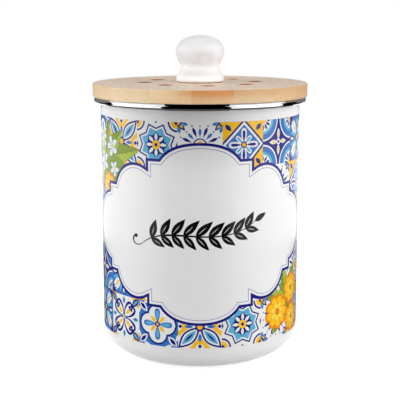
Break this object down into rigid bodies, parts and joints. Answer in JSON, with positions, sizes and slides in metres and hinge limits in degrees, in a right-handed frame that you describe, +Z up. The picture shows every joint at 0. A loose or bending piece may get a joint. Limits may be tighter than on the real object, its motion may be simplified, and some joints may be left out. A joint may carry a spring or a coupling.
{
  "type": "compost caddy",
  "caption": "Countertop compost caddy: enamelled steel pot with a steel rim and a lift-off wooden lid with knob, vent holes and a charcoal filter behind a bayonet grille.",
  "frame": {"origin": "centre of the base, on the surface that the pot stands on", "axes": "+Z up through the knob, -Y the front; the lid's stave joints run along Y"},
  "size_m": [0.17, 0.17, 0.2514],
  "materials": {
    "enamel": "glossy white vitreous enamel on steel, with a printed tile band",
    "rim_steel": "mirror-polished stainless steel",
    "stave_1": "pale wood, satin oil",
    "stave_2": "pale wood, satin oil",
    "stave_3": "pale wood, satin oil",
    "stave_4": "orange-tan wood, satin oil",
    "stave_5": "warm wood, satin oil",
    "stave_6": "warm wood, satin oil",
    "porcelain": "glossy white glaze",
    "brass": "machined",
    "knob_seat": "dark brown washer",
    "screw_steel": "bright zinc plate",
    "housing_plastic": "moulded, fine satin",
    "gasket_silicone": "pale silicone, satin",
    "charcoal": "charcoal-loaded felt",
    "retainer_plastic": "moulded, fine satin"
  },
  "bodies": {
    "pot": {"pot_shell": "enamel", "rim_trim": "rim_steel"},
    "lid": {"lid_stave_1": "stave_1", "lid_stave_2": "stave_2", "lid_stave_3": "stave_3", "lid_stave_4": "stave_4", "lid_stave_5": "stave_5", "lid_stave_6": "stave_6", "porcelain_knob": "porcelain", "knob_insert": "brass", "knob_washer": "knob_seat", "knob_screw": "screw_steel", "screw_washer": "screw_steel", "filter_housing": "housing_plastic", "housing_screws": "screw_steel", "lid_gasket": "gasket_silicone", "charcoal_filter": "charcoal"},
    "retainer": {"filter_retainer": "retainer_plastic"}
  },
  "joints": [
    {"name": "lid_lift", "type": "slide", "parent": "pot", "child": "lid", "axis": [0, 0, 1], "range_m": [0, 0.12]},
    {"name": "retainer_turn", "type": "hinge", "parent": "lid", "child": "retainer", "pos_m": [0, 0, 0.194], "axis": [0, 0, 1], "range_deg": [0, 28]}
  ]
}
